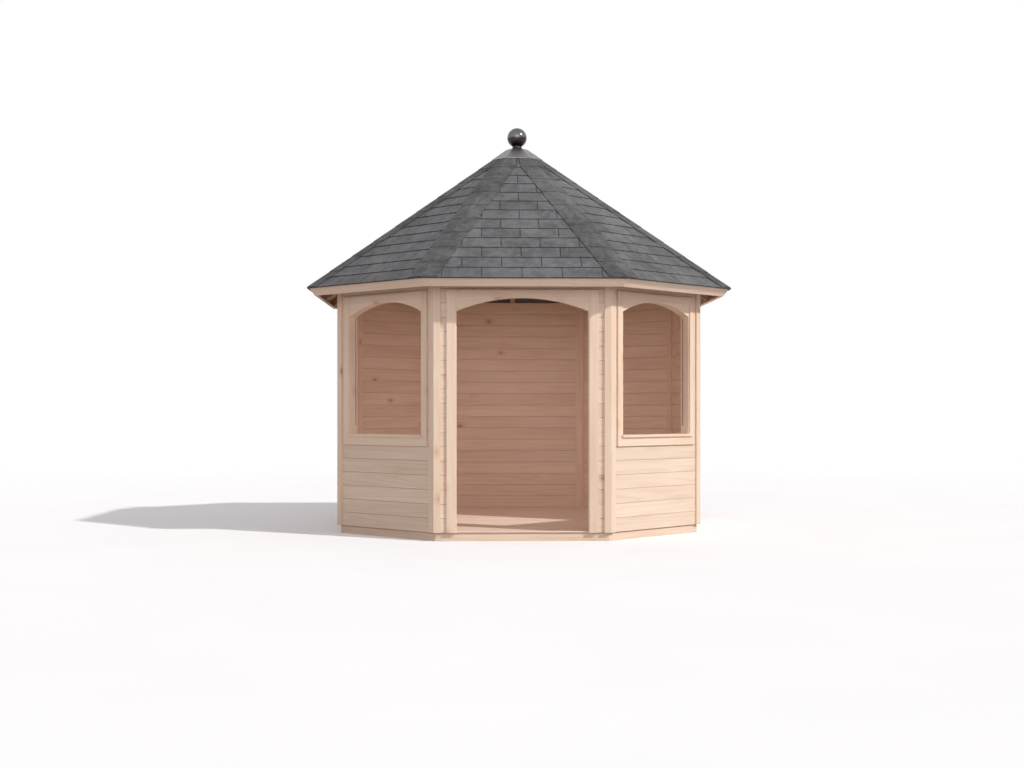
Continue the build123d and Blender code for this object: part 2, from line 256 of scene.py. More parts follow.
def effect_group(name, inputs, outputs):
    """A shader node group: returns its net, its inputs and the sockets of its output node."""
    tree = bpy.data.node_groups.new(name, "ShaderNodeTree")
    for label, kind, value in inputs:
        socket = tree.interface.new_socket(label, in_out="INPUT",
                                           socket_type="NodeSocket" + kind)
        socket.default_value = value
    for label, kind in outputs:
        tree.interface.new_socket(label, in_out="OUTPUT", socket_type="NodeSocket" + kind)
    net = Net(tree)
    return net, net.node("NodeGroupInput").outputs, net.node("NodeGroupOutput").inputs


def new_material(name):
    """A material with its net and its Principled shader."""
    material = bpy.data.materials.new(name)
    material.use_nodes = True
    net = Net(material.node_tree)
    return material, net, net.tree.nodes["Principled BSDF"]


def object_place(net):
    return net.node("ShaderNodeTexCoord").outputs["Object"]


def set_bump(net, shader, height, strength, distance):
    rise = net.node("ShaderNodeBump", {"Height": height, "Strength": strength,
                                       "Distance": distance})
    net.feed(shader.inputs["Normal"], rise.outputs[0])


def seen_directly(net):
    """1 for light paths from the camera, from a mirror or through glass, else 0."""
    path = net.node("ShaderNodeLightPath").outputs
    return net.math("MAXIMUM", net.math("MAXIMUM", path["Is Camera Ray"],
                                        path["Is Glossy Ray"]), path["Is Transmission Ray"])


print("a noise is spread from", NOISE_SPAN)

# %% [markdown]
# ## Planed pine
#
# Sawn softwood shows long streaks of early and late wood, a slow change of colour from one
# part of a board to the next, and a knot here and there. All of it stretches along the grain.
# The group takes a place in metres whose X runs along the grain, so one group serves boards,
# posts and rails alike: each material only has to turn its place the right way first. A tone
# between 0 and 1 tells one board from the next. The scales say how often each pattern repeats
# in a metre, first along the grain and then across it. An image of a board could be laid on
# each piece instead, but it would repeat and show its seams, and stretched noise doesn't.

# %% The wood grain group
STREAK_SCALE, RING_SCALE = (1.4, 70.0, 70.0), (0.55, 9.0, 9.0)
KNOT_SCALE, CLOUD_SCALE = (2.2, 3.4, 3.4), (0.7, 2.5, 2.5)
RINGS_PER_SWIRL = 42.0
BOARD_SHIFT, TONE_SHIFT = (3.1, 5.3, 7.7), 9.0
KNOT_BROWN = (0.36, 0.17, 0.09, 1)


def wood_grain():
    net, given, out = effect_group(
        "Pine grain",
        [("Place", "Vector", (0, 0, 0)), ("Tone", "Float", 0.5),
         ("Early wood", "Color", (1, 1, 1, 1)), ("Late wood", "Color", (0.5, 0.3, 0.2, 1)),
         ("Contrast", "Float", 0.35), ("Board difference", "Float", 0.08)],
        [("Color", "Color"), ("Roughness", "Float"), ("Height", "Float")])
    shift = net.vector("SCALE", BOARD_SHIFT)
    net.feed(shift.node.inputs["Scale"], net.math("MULTIPLY", given["Tone"], TONE_SHIFT))
    place = net.vector("ADD", given["Place"], shift)
    streaks = net.noise(net.vector("MULTIPLY", place, STREAK_SCALE), 1.0, 3.0, 0.6)
    swirl = net.noise(net.vector("MULTIPLY", place, RING_SCALE), 1.0, 1.5, 0.4, 0.6)
    slow = net.noise(net.vector("MULTIPLY", place, CLOUD_SCALE), 1.0, 2.0)
    rings = net.ramp(net.math("SINE", net.math("MULTIPLY", swirl, RINGS_PER_SWIRL)), -0.4, 1.0)
    knot = net.node("ShaderNodeTexVoronoi", {
        "Vector": net.vector("MULTIPLY", place, KNOT_SCALE), "Scale": 1.0, "Randomness": 0.9})
    knot_mask = net.ramp(knot.outputs["Distance"], 0.03, 0.075, 0.6, 0.0)
    knot_ring = net.ramp(knot.outputs["Distance"], 0.05, 0.17, 0.45, 0.0)
    late = net.math("ADD", net.math("MULTIPLY", streaks, 0.5), net.math("MULTIPLY", rings, 0.5))
    late = net.math("ADD", net.math("MULTIPLY", late, given["Contrast"]), knot_ring)
    colour = net.mix(late, given["Early wood"], given["Late wood"])
    colour = net.mix(knot_mask, colour, KNOT_BROWN)
    lift = net.math("ADD", net.ramp(slow, *NOISE_SPAN, -0.05, 0.05),
                    net.math("MULTIPLY", net.math("SUBTRACT", given["Tone"], 0.5),
                             given["Board difference"]))
    bright = net.node("ShaderNodeHueSaturation", {
        "Saturation": net.ramp(slow, *NOISE_SPAN, 1.06, 0.94),
        "Value": net.math("ADD", 1.0, lift), "Color": colour})
    net.feed(out["Color"], bright.outputs[0])
    net.feed(out["Roughness"], net.ramp(streaks, *NOISE_SPAN, 0.56, 0.72))
    net.feed(out["Height"], net.math("ADD", net.math("MULTIPLY", streaks, 0.6),
                                     net.math("MULTIPLY", rings, 0.4)))
    return net.tree


PINE_GRAIN = wood_grain()
print("grain group has", len(PINE_GRAIN.nodes), "nodes")

# %% [markdown]
# ## Wear and weather
#
# Rain splashes soil on the lowest boards, and dust settles there first. A plain fade would do,
# but it ends in a straight line that no real stain has. So the mask is strongest near the
# ground and broken up by blotches.

# %% The splash group
def soil_splash():
    net, given, out = effect_group(
        "Soil splash",
        [("Place", "Vector", (0, 0, 0)), ("Top", "Float", 0.3), ("Amount", "Float", 0.35)],
        [("Mask", "Float")])
    height = net.node("ShaderNodeSeparateXYZ", {0: given["Place"]}).outputs[2]
    blotch = net.noise(given["Place"], 5.0, 4.0, 0.6)
    fall = net.ramp(height, 0.0, given["Top"], 1.0, 0.0)
    mask = net.math("MULTIPLY", net.math("POWER", fall, 1.5),
                    net.ramp(blotch, *NOISE_SPAN, 0.3, 1.0))
    net.feed(out["Mask"], net.math("MULTIPLY", mask, given["Amount"]))
    return net.tree


SOIL_SPLASH = soil_splash()
print("splash group has", len(SOIL_SPLASH.nodes), "nodes")

# %% [markdown]
# ## Which way the grain runs
#
# Loose boards carry their own map, with its U along the board, and an attribute that tells the
# boards apart. The other timbers are fixed round the building, so their place comes from where
# they are: the turn about the middle says which side they are on, and then each side has its
# own directions across, up and outwards. Posts have upright grain, sills and fascia level
# grain, and rafters grain down the slope. A casing is made of posts and rails in one solid, so
# the heights where its rails begin turn the grain level there. Each solid could have a map of
# its own, but for two dozen pieces that stand in a ring this is far less work.

# %% Grain directions
GRAIN_UPRIGHT, GRAIN_LEVEL, GRAIN_MAP, GRAIN_SLOPE = "upright", "level", "map", "slope"
RAFTER_FALL = 0.745
NO_FOOT, ALL_WIDE = -1.0, 9.0
NO_RAIL = (NO_FOOT, ALL_WIDE, ALL_WIDE)


def grain_place(net, way, rails):
    """A place whose X runs along the grain, and the tone of the board.

    Rails have level grain. They lie below the first height of rails, and above the second
    height where they are within the half width, the third number."""
    if way == GRAIN_MAP:
        tone = net.node("ShaderNodeAttribute", attribute_name="tone").outputs["Fac"]
        return net.node("ShaderNodeTexCoord").outputs["UV"], tone
    x, y, z = net.node("ShaderNodeSeparateXYZ", {0: object_place(net)}).outputs
    sides = 16 if way == GRAIN_SLOPE else 8
    turn = net.math("ARCTAN2", y, x)
    run = net.math("SQRT", net.math("ADD", net.math("MULTIPLY", x, x),
                                    net.math("MULTIPLY", y, y)))
    side = net.math("FLOOR", net.math("ADD", net.math("MULTIPLY", turn, sides / math.tau), 0.5))
    off = net.math("SUBTRACT", turn, net.math("MULTIPLY", side, math.tau / sides))
    across = net.math("MULTIPLY", run, net.math("SINE", off))
    depth = net.math("MULTIPLY", run, net.math("COSINE", off))
    above_slope = net.math("ADD", z, net.math("MULTIPLY", run, RAFTER_FALL))
    parts = {GRAIN_UPRIGHT: (z, across, depth), GRAIN_LEVEL: (across, z, depth),
             GRAIN_SLOPE: (run, above_slope, across)}
    made = net.node("ShaderNodeCombineXYZ", dict(enumerate(parts[way]))).outputs[0]
    number = net.math("FLOORED_MODULO", side, float(sides))
    if rails != NO_RAIL:
        low, high, half = rails
        head = net.math("MULTIPLY", net.math("GREATER_THAN", z, high),
                        net.math("LESS_THAN", net.math("ABSOLUTE", across), half))
        rail = net.math("MAXIMUM", net.math("LESS_THAN", z, low), head)
        level = net.node("ShaderNodeCombineXYZ", dict(enumerate(parts[GRAIN_LEVEL]))).outputs[0]
        made = net.node("ShaderNodeMix", {0: rail, 4: made, 5: level},
                        data_type="VECTOR").outputs[1]
        number = net.math("ADD", number, net.math("MULTIPLY", rail, 0.5))
    tone = net.node("ShaderNodeTexWhiteNoise", {"W": number}, noise_dimensions="1D")
    return made, tone.outputs["Value"]


print("rafters fall", RAFTER_FALL, "m for each metre out")

# %% [markdown]
# ## One timber finish
#
# One function makes every timber finish. It turns the place, hands it to the grain group, adds
# soil near the ground where the timber stands on it, and lets the grain raise the surface by
# a fraction of a millimetre. The wall boards are the first to get theirs.

# %% The function for timber, and the wall boards
PINE_PALE, PINE_LATE = (0.79, 0.640, 0.503), (0.62, 0.38, 0.245)
SOIL_BROWN = (0.23, 0.17, 0.12, 1)


def timber(name, early, late, way, contrast=0.35, board_difference=0.08, splash=0.0,
           roughness=0.0, rails=NO_RAIL):
    material, net, shader = new_material(name)
    place, tone = grain_place(net, way, rails)
    grain = net.node("ShaderNodeGroup", node_tree=PINE_GRAIN)
    for label, value in (("Place", place), ("Tone", tone), ("Early wood", (*early, 1)),
                         ("Late wood", (*late, 1)), ("Contrast", contrast),
                         ("Board difference", board_difference)):
        net.feed(grain.inputs[label], value)
    colour = grain.outputs["Color"]
    if splash:
        ground = net.node("ShaderNodeGroup", node_tree=SOIL_SPLASH)
        net.feed(ground.inputs["Place"], object_place(net))
        net.feed(ground.inputs["Amount"], splash)
        colour = net.mix(ground.outputs["Mask"], colour, SOIL_BROWN)
    net.feed(shader.inputs["Base Color"], colour)
    net.feed(shader.inputs["Roughness"],
             net.math("ADD", grain.outputs["Roughness"], roughness))
    set_bump(net, shader, grain.outputs["Height"], strength=0.25, distance=0.001)
    return material


WALL_PINE = timber("Wall boards, planed pine", PINE_PALE, PINE_LATE, GRAIN_MAP, contrast=0.40,
                   board_difference=0.07, splash=0.10)
print(WALL_PINE.name, "has", len(WALL_PINE.node_tree.nodes), "nodes")

# %% [markdown]
# ## The timbers of this gazebo
#
# The same pine shows a little paler or warmer from part to part. Trims are cut from calmer wood
# than boards, so their grain has less contrast. Roof boards and rafters are darker and warmer,
# because only light that other boards throw back reaches them. The fascia is paler than the
# other trims: that is painted light. Each finish here gives only what differs.

# %% Timber materials
PINE_TRIM = (0.815, 0.638, 0.49)
ROOF_PALE, ROOF_LATE = (0.60, 0.38, 0.26), (0.40, 0.21, 0.12)
WINDOW_FOOT = SILL_TOP - SILL_THICK


def trim(name, way=GRAIN_UPRIGHT, pale=PINE_TRIM, **more):
    return timber(name + ", planed pine", pale, PINE_LATE, way, contrast=0.28, **more)


FLOOR_PINE = timber("Floor boards, planed pine", (0.87, 0.73, 0.60), PINE_LATE, GRAIN_MAP,
                    board_difference=0.10)
ROOF_PINE = timber("Roof boards, planed pine", ROOF_PALE, ROOF_LATE, GRAIN_MAP,
                   board_difference=0.14)
POST_PINE = trim("Upright trims", splash=0.12)
DOOR_TRIM = trim("Door casing", splash=0.12, rails=(NO_FOOT, DOOR_SPRING, DOOR_HALF))
WINDOW_TRIM = trim("Window casing", rails=(WINDOW_FOOT, WINDOW_SPRING, WINDOW_HALF))
ARCH_PINE = trim("Arched linings", rails=(WINDOW_FOOT, LINING_HEAD, ALL_WIDE))
DOOR_ARCH = trim("Arched door lining", rails=(NO_FOOT, LINING_HEAD, ALL_WIDE))
RAIL_PINE = trim("Level trims", way=GRAIN_LEVEL)
# The fascia is made paler than the other trims: painted light.
FASCIA_LIT_PINE = trim("Fascia", way=GRAIN_LEVEL, pale=(0.87, 0.67, 0.53))
RAFTER_PINE = timber("Rafters, sawn pine", ROOF_PALE, ROOF_LATE, GRAIN_SLOPE, roughness=0.1)
BASE_PINE = timber("Bearers, sawn pine", (0.815, 0.63, 0.485), (0.58, 0.36, 0.23), GRAIN_LEVEL,
                   splash=0.12, roughness=0.1)
print("timber finishes:", [m.name for m in bpy.data.materials if "pine" in m.name])

# %% [markdown]
# ## Crushed slate
#
# Bitumen shingles are covered with crushed slate: tiny grains of several greys, gathered in
# larger cloudy patches. The finest noise alone would look like sandpaper. So the group adds
# three noises of different sizes and the tone of the shingle, and mixes a dark and a light
# grey by their sum.

# %% The slate group
GRAINS, PATCHES, CLOUDS = 110.0, 12.0, 3.1
PATCH_SHARE, TONE_SHARE = 0.46, 0.26


def slate_granules():
    net, given, out = effect_group(
        "Slate granules",
        [("Place", "Vector", (0, 0, 0)), ("Tone", "Float", 0.5),
         ("Dark", "Color", (0, 0, 0, 1)), ("Light", "Color", (1, 1, 1, 1))],
        [("Color", "Color"), ("Height", "Float")])
    grains = net.noise(given["Place"], GRAINS, 3.0, 0.8)
    patch = net.noise(given["Place"], PATCHES, 4.0, 0.62, 0.8)
    cloud = net.noise(given["Place"], CLOUDS, 2.0, 0.5)
    blend = net.math("ADD", net.math("MULTIPLY", net.ramp(patch, 0.38, 0.62), PATCH_SHARE),
                     net.math("MULTIPLY", given["Tone"], TONE_SHARE))
    blend = net.math("ADD", blend, net.ramp(cloud, 0.35, 0.65, -0.20, 0.20))
    blend = net.math("ADD", blend, net.ramp(grains, 0.35, 0.65, -0.24, 0.34))
    net.feed(out["Color"], net.mix(blend, given["Dark"], given["Light"]))
    net.feed(out["Height"], grains)
    return net.tree


SLATE_GRANULES = slate_granules()
print("slate group has", len(SLATE_GRANULES.nodes), "nodes")

# %% [markdown]
# ## Shingles and felt
#
# The cut edges of a shingle show the black bitumen. An attribute on the edge faces of each
# shingle tells the material where they are. Felt is the same stuff with finer, darker dust.

# %% Roofing materials
BITUMEN = (0.035, 0.026, 0.028, 1)


def roofing(name, dark, light):
    material, net, shader = new_material(name)
    granules = net.node("ShaderNodeGroup", node_tree=SLATE_GRANULES)
    net.feed(granules.inputs["Place"], object_place(net))
    tone = net.node("ShaderNodeAttribute", attribute_name="tone").outputs["Fac"]
    edge = net.node("ShaderNodeAttribute", attribute_name="edge").outputs["Fac"]
    for label, value in (("Tone", tone), ("Dark", (*dark, 1)), ("Light", (*light, 1))):
        net.feed(granules.inputs[label], value)
    net.feed(shader.inputs["Base Color"], net.mix(edge, granules.outputs["Color"], BITUMEN))
    net.feed(shader.inputs["Roughness"], net.ramp(edge, 0.0, 1.0, 0.92, 0.75))
    set_bump(net, shader, granules.outputs["Height"], strength=0.35, distance=0.0008)
    return material


SHINGLE = roofing("Slate grey shingle", (0.070, 0.070, 0.073), (0.170, 0.169, 0.172))
# The hip caps are the same shingle as the faces, made darker: painted shade.
SHADED_HIP_SHINGLE = roofing("Slate grey hip shingle, painted shade", (0.040, 0.040, 0.042), (0.140, 0.139, 0.142))
FELT = roofing("Underlay felt", (0.035, 0.03, 0.03), (0.06, 0.05, 0.05))
print("roofing finishes made")

# %% [markdown]
# ## Metal
#
# The sheet of the cap and the ball on top are dark and smooth, a little cloudy where they have
# weathered. An even grey would look like plastic: it is the cloud in the gloss that reads as
# metal. On the ball a reflection is painted in: near black below a given height, as if it
# mirrored the dark roof and ground, and a darker grey higher up, as if it mirrored a darker
# sky.

# %% Metal materials
# The height where the painted reflection on the ball turns near black, and the two greys of
# that painted reflection.
BALL_REFLECTION_LINE = 3.623
TOP_REFLECTION_GREY, LOWER_REFLECTION_BLACK = (0.085, 0.085, 0.088, 1), (0.05, 0.04, 0.042, 1)
METAL_CLOUDS, BRUSHED = 22.0, (260.0, 260.0, 30.0)


def weathered_metal_with_reflection(name, colour, cloudy, roughness, foot=None):
    """Metal with a slow cloud in colour and gloss. Given a height called foot, it also gets a
    painted reflection: near black below it and a darker grey higher up.
    """
    material, net, shader = new_material(name)
    where = object_place(net)
    cloud = net.noise(where, METAL_CLOUDS, 4.0, 0.6)
    scratch = net.noise(net.vector("MULTIPLY", where, BRUSHED), 1.0, 2.0)
    tint = net.mix(net.ramp(cloud, 0.35, 0.7), (*colour, 1), (*cloudy, 1))
    # Painted reflection: near black below the height called foot, a darker grey higher up.
    if foot:
        height = net.node("ShaderNodeSeparateXYZ", {0: where}).outputs[2]
        edge = net.math("ADD", height, net.ramp(cloud, *NOISE_SPAN, -0.006, 0.006))
        tint = net.mix(net.ramp(edge, foot + 0.02, foot + 0.09), tint, TOP_REFLECTION_GREY)
        tint = net.mix(net.ramp(edge, foot - 0.012, foot + 0.006, 1.0, 0.0), tint, LOWER_REFLECTION_BLACK)
    net.feed(shader.inputs["Base Color"], tint)
    shader.inputs["Metallic"].default_value = 1.0
    wear = net.math("ADD", net.math("MULTIPLY", cloud, 0.7), net.math("MULTIPLY", scratch, 0.3))
    net.feed(shader.inputs["Roughness"],
             net.ramp(wear, *NOISE_SPAN, roughness - 0.06, roughness + 0.1))
    set_bump(net, shader, cloud, strength=0.12, distance=0.002)
    return material


CAP_METAL = weathered_metal_with_reflection("Grey sheet metal", (0.25, 0.245, 0.245), (0.17, 0.168, 0.17), 0.34)
# The ball's finish holds a painted reflection.
BALL_METAL = weathered_metal_with_reflection("Dark polished metal, painted reflection", (0.20, 0.20, 0.205), (0.15, 0.147, 0.15),
                             0.17, foot=BALL_REFLECTION_LINE)
NAIL_METAL = weathered_metal_with_reflection("Zinc plated nail", (0.55, 0.54, 0.52), (0.42, 0.41, 0.4), 0.35)
print("metal finishes made")

# %% [markdown]
# ## Finishes for the solids
#
# The solids that show as they are get their finish here, in their own slots. Posts and corner
# strips have upright grain, and sills, fascia and bearers level grain. The ball is a solid of
# many small faces, so it is shaded smooth.

# %% Dressing the solids
FINISHES = {"corner_cover_" + name: POST_PINE for name in (
    "front_right", "right_front", "right_back", "back_right",
    "back_left", "left_back", "left_front", "front_left")}
for side in WINDOW_FACES:
    FINISHES.update({"window_frame_" + side: ARCH_PINE, "window_casing_" + side: WINDOW_TRIM,
                     "window_sill_" + side: RAIL_PINE})
FINISHES.update({
    "inside_corner_covers": POST_PINE, "door_frame": DOOR_ARCH, "door_casing": DOOR_TRIM,
    "fascia": FASCIA_LIT_PINE, "hip_rafters": RAFTER_PINE, "mid_rafters": RAFTER_PINE,
    "king_block": RAFTER_PINE, "base_frame": BASE_PINE, "apex_cap": CAP_METAL,
    "finial": BALL_METAL})
for node, material in FINISHES.items():
    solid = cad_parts[node]
    solid.data.materials.clear()
    solid.data.materials.append(material)
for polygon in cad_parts["finial"].data.polygons:
    polygon.use_smooth = True
print(len(FINISHES), "solids dressed")

# %% [markdown]
# ## What the geometry trees share
#
# Two trees lay pieces in this lesson: one lays boards and one lays shingles. Both take a
# piece, a seed and a material. They give each copy a random tone from the seed, make the
# copies real and set their material. An input is set by its identifier before the tree runs,
# and the result is kept as a plain mesh.

# %% Helpers for geometry trees
def new_tree(name, *inputs):
    """A geometry tree with its sockets: returns its net and its inputs."""
    tree = bpy.data.node_groups.new(name, "GeometryNodeTree")
    for label, kind in (("Geometry", "Geometry"), *inputs, ("Seed", "Int"),
                        ("Material", "Material")):
        tree.interface.new_socket(label, in_out="INPUT", socket_type="NodeSocket" + kind)
    tree.interface.new_socket("Geometry", in_out="OUTPUT", socket_type="NodeSocketGeometry")
    net = Net(tree)
    return net, net.node("NodeGroupInput").outputs


def with_tone(net, instances, seed):
    """Gives each instance a random tone and makes it real."""
    chance = net.node("FunctionNodeRandomValue", {"Seed": seed}, data_type="FLOAT")
    marked = net.node("GeometryNodeStoreNamedAttribute", {
        "Geometry": instances, "Name": "chance", "Value": chance.outputs[1]},
        data_type="FLOAT", domain="INSTANCE")
    real = net.node("GeometryNodeRealizeInstances", {0: marked.outputs[0]})
    read = net.node("GeometryNodeInputNamedAttribute", {"Name": "chance"}, data_type="FLOAT")
    toned = net.node("GeometryNodeStoreNamedAttribute", {
        "Geometry": real.outputs[0], "Name": "tone", "Value": read.outputs[0]},
        data_type="FLOAT", domain="FACE")
    return toned.outputs[0]


def end_tree(net, geometry, *helpers):
    """Drops the helper attributes and sets the material."""
    for name in helpers:
        dropped = net.node("GeometryNodeRemoveAttribute", {"Geometry": geometry, "Name": name})
        geometry = dropped.outputs[0]
    given = net.tree.nodes["Group Input"].outputs
    dressed = net.node("GeometryNodeSetMaterial", {"Geometry": geometry,
                                                   "Material": given["Material"]})
    net.feed(net.node("NodeGroupOutput").inputs[0], dressed.outputs[0])


def lay(piece, tree, **values):
    """Runs a Geometry Nodes tree on an object with its inputs set, and keeps the mesh."""
    modifier = piece.modifiers.new("lay", "NODES")
    modifier.node_group = tree
    for item in tree.interface.items_tree:
        if item.in_out == "INPUT" and item.name in values:
            modifier[item.identifier] = values[item.name]
    return settle(piece)


print("two trees share these helpers")

# %% [markdown]
# ## A row of boards
#
# Walls, floor and roof are all rows of tongued and grooved boards, so one Geometry Nodes tree
# lays them all: it repeats one board by a step. An Array modifier could do that too, but then
# every board would have the same tone and the same knots.

# %% The tree that lays boards
def rows_tree():
    net, given = new_tree("Rows of boards", ("Count", "Int"), ("Step", "Vector"))
    line = net.node("GeometryNodeMeshLine", {"Count": given["Count"], "Offset": given["Step"]},
                    mode="OFFSET")
    placed = net.node("GeometryNodeInstanceOnPoints", {"Points": line.outputs[0],
                                                       "Instance": given["Geometry"]})
    end_tree(net, with_tone(net, placed.outputs[0], given["Seed"]), "chance")
    return net.tree


ROWS = rows_tree()
print("board tree has", len(ROWS.nodes), "nodes")

# %% [markdown]
# ## One board
#
# The joints could be lines in the bump of a plain slab, which is enough from far away. Real
# joints catch the light and cast their own shadow, so a board has its true section: a tongue
# on top, a groove below that is a gap wider, and the chamfers that meet as a V-joint between
# two boards. The map of a board has its U along the length in metres, which the grain
# follows. The gap of a wall board is wide enough to show as a dark line in the V.

# %% One tongued and grooved board
BOARD_COVER = 0.1184
TONGUE_SHARE = 0.15


def board_section(thick, cover, chamfer, back_chamfer, tongue=0.008, gap=0.0003):
    """Section as (depth, height) points, anticlockwise from the foot of the face."""
    half = thick * TONGUE_SHARE
    middle = thick / 2
    top = cover - gap
    return [(0, chamfer), (chamfer, 0), (middle - half - gap, 0),
            (middle - half - gap, tongue + 2 * gap), (middle + half + gap, tongue + 2 * gap),
            (middle + half + gap, 0), (thick - back_chamfer, 0), (thick, back_chamfer),
            (thick, top - back_chamfer), (thick - back_chamfer, top), (middle + half, top),
            (middle + half, top + tongue), (middle - half, top + tongue), (middle - half, top),
            (chamfer, top), (0, top - chamfer)]


def board(name, section, length, start, run, rise, depth):
    """A board of that section, half its length to each side of start along run."""
    work = bmesh.new()
    uv = work.loops.layers.uv.new("UVMap")
    rings = [[work.verts.new(start + run * end + depth * d + rise * h) for d, h in section]
             for end in (-length / 2, length / 2)]
    girth = [0.0]
    for a, b in zip(section, section[1:] + section[:1]):
        girth.append(girth[-1] + math.dist(a, b))
    for k, face in enumerate(band(work, *rings)):
        corners = ((0, girth[k]), (0, girth[k + 1]), (length, girth[k + 1]), (length, girth[k]))
        for loop, corner in zip(face.loops, corners):
            loop[uv].uv = corner
    for ring in rings:
        work.faces.new(ring)
    return from_bmesh(name, work)


WALL_SECTION = board_section(BOARD_THICK, BOARD_COVER, chamfer=0.0026, back_chamfer=0.0022,
                             tongue=0.009, gap=0.0014)
print("the section of a wall board has", len(WALL_SECTION), "points")

# %% [markdown]
# ## Fitting the boards to a solid
#
# The solids already hold every mitre, doorway and window hole. So the boards are laid long
# and plain, and then kept only where the solid is, as a joiner scribes boards to a wall. The
# copy of the solid that does the cutting is made a little thicker than the boards, so their
# own faces stay as they were planed.

# %% Cutting boards to a solid
SAME_POINT = 1e-5


def cutter_from(node, thicken_along, middle, factor):
    """A closed copy of a solid, made thicker along one direction about a point."""
    work = bmesh.new()
    work.from_mesh(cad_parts[node].data)
    bmesh.ops.remove_doubles(work, verts=work.verts, dist=SAME_POINT)
    for vert in work.verts:
        off = (vert.co - middle).dot(thicken_along)
        vert.co += thicken_along * off * (factor - 1)
    return from_bmesh(node + " cutter", work, turn_out=False)


def cut_to(piece, cutter, operation="INTERSECT"):
    modifier = piece.modifiers.new("cut", "BOOLEAN")
    modifier.operation = operation
    modifier.solver = "EXACT"
    modifier.object = cutter
    settle(piece)
    bpy.data.objects.remove(cutter)
    return piece


loose = len(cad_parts["back_wall"].data.vertices)
print("the back wall comes with", loose, "loose corners, which merge into a closed solid")

# %% [markdown]
# ## The wall boards
#
# Eighteen rows of 44 mm boards make each wall, chamfered on both faces, so that a V-joint
# shows inside and out. The front wall is in three parts: a stub on each side of the doorway
# and the boards over it.

# %% Wall boards
WALLS = [("front_wall_" + part, FRONT) for part in ("left", "right", "head")]
WALLS += [(name + "_wall", face) for face, name in enumerate(FACES[:FRONT])]
WALL_FOOT, WALL_HEAD = (corner[2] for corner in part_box("back_wall"))
WALL_ROWS = round((WALL_HEAD - WALL_FOOT) / BOARD_COVER)
LONG_BOARD = 2.2
CUTTER_GROWS = 1.05
for seed, (node, face) in enumerate(WALLS):
    out = outward(face)
    foot = out * reach(face, COVER_THICK) + UP * WALL_FOOT
    piece = board("boards_" + node, WALL_SECTION, LONG_BOARD, foot, along(face), UP, -out)
    lay(piece, ROWS, Count=WALL_ROWS, Step=(0, 0, BOARD_COVER), Seed=seed, Material=WALL_PINE)
    cut_to(piece, cutter_from(node, out, foot - out * BOARD_THICK / 2, CUTTER_GROWS))
    finish_piece(piece, [node])

# %% [markdown]
# ## Stops inside the windows
#
# Inside each window a stop runs round the lining. Between the two, a slot in each upright
# takes a loose shutter, and a block at its foot carries the shutter above the sill. Sticks
# could be put together for it, but one outline swept into the wall follows the arch with no
# joints to close. Its slots are cut out afterwards, as a router would.

# %% Window stops
LINING_BACK = 0.072
STOP_WIDE, STOP_DEPTH = 0.048, 0.024
SLOT_SIDE, SLOT_DEPTH = 0.040, 0.014
SLOT_BLOCK, SLOT_SHORT = 0.072, 0.010
SLOT_FOOT, SLOT_TOP = SILL_TOP + SLOT_BLOCK, WINDOW_SPRING - SLOT_SHORT
PAST_FACE = 0.002
ARCH_POINTS = 17


def window_outline(margin, foot):
    """Points (across, height) round a window, widened by a margin."""
    rise = WINDOW_CROWN - WINDOW_SPRING
    radius = (WINDOW_HALF ** 2 + rise ** 2) / (2 * rise)
    half, swung = WINDOW_HALF + margin, radius + margin
    turn = math.asin(half / swung)
    angles = [turn - 2 * turn * k / (ARCH_POINTS - 1) for k in range(ARCH_POINTS)]
    arch = [(swung * sin(a), WINDOW_CROWN - radius + swung * cos(a)) for a in angles]
    return [(-half, foot), (half, foot)] + arch


def swept(name, face, outlines, near, far):
    """A closed ring, or a bar where there is one outline, between two insets of a wall."""
    work = bmesh.new()
    rings = [[work.verts.new(outward(face) * reach(face, inset) + along(face) * x + UP * z)
              for x, z in outline] for inset in (near, far) for outline in outlines]
    if len(outlines) == 1:
        pairs = [(0, 1)]
        for ring in rings:
            work.faces.new(ring)
    else:
        pairs = [(0, 1), (1, 3), (3, 2), (2, 0)]
    for a, b in pairs:
        band(work, rings[a], rings[b])
    return from_bmesh(name, work)


for side, face in WINDOW_FACES.items():
    ring = [window_outline(STOP_WIDE, WINDOW_FOOT), window_outline(0.0, SILL_TOP)]
    piece = swept("window_stop_" + side, face, ring, LINING_BACK, LINING_BACK + STOP_DEPTH)
    for hand in (-1, 1):
        near, far = sorted((hand * (WINDOW_HALF - PAST_FACE), hand * (WINDOW_HALF + SLOT_SIDE)))
        slot = [(near, SLOT_FOOT), (far, SLOT_FOOT), (far, SLOT_TOP), (near, SLOT_TOP)]
        cut_to(piece, swept("slot", face, [slot], LINING_BACK - PAST_FACE,
                            LINING_BACK + SLOT_DEPTH), "DIFFERENCE")
    piece.data.materials.append(ARCH_PINE)
    finish_piece(piece)

# %% [markdown]
# ## The floor boards
#
# The joists run from front to back, so the floor boards run across them, from side to side.
# They start whole at the front. The last one at the back is ripped to width by the cut.

